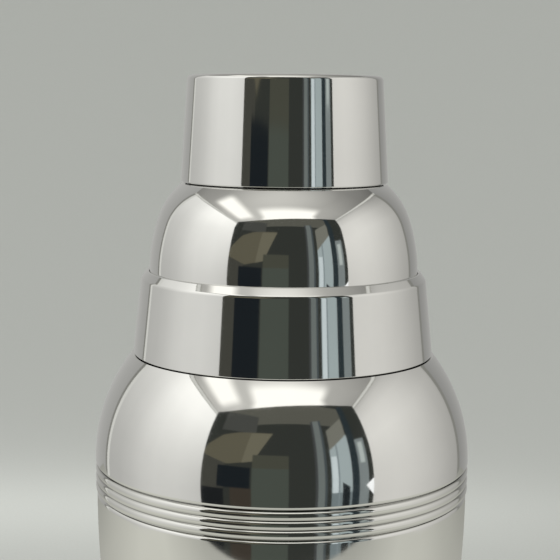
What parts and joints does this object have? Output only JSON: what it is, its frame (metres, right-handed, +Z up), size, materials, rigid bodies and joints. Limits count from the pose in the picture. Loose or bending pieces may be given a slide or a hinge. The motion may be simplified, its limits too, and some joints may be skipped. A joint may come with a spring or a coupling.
{
  "type": "cocktail shaker",
  "caption": "Mirror-polished three-piece cocktail shaker: tapered cup with domed shoulder and beaded girdle, lift-off strainer dome on a tapered collar, and flat-topped cap.",
  "frame": {"origin": "centre of the underside of the foot ring", "axes": "+Z up along the shaker's axis, from the foot towards the cap; the shaker is round, so X and Y are any two horizontal directions"},
  "size_m": [0.09, 0.09, 0.23],
  "materials": {
    "mirror_metal": "mirror-polished, with very fine wiping marks",
    "girdle_metal": "polished, slightly darker in the grooves",
    "satin_metal": "satin, with fine turning lines"
  },
  "bodies": {
    "shaker_body": {"foot_ring": "mirror_metal", "body_cup": "mirror_metal", "beaded_girdle": "girdle_metal", "body_shoulder": "mirror_metal", "body_neck": "satin_metal"},
    "strainer_top": {"collar_band": "mirror_metal", "strainer_dome": "mirror_metal", "strainer_neck": "satin_metal", "strainer_plate": "satin_metal"},
    "cap": {"cap_shell": "mirror_metal"}
  },
  "joints": [
    {"name": "strainer_lift", "type": "slide", "parent": "shaker_body", "child": "strainer_top", "axis": [0, 0, 1], "range_m": [0, 0.06]},
    {"name": "cap_lift", "type": "slide", "parent": "strainer_top", "child": "cap", "axis": [0, 0, 1], "range_m": [0, 0.05]}
  ]
}
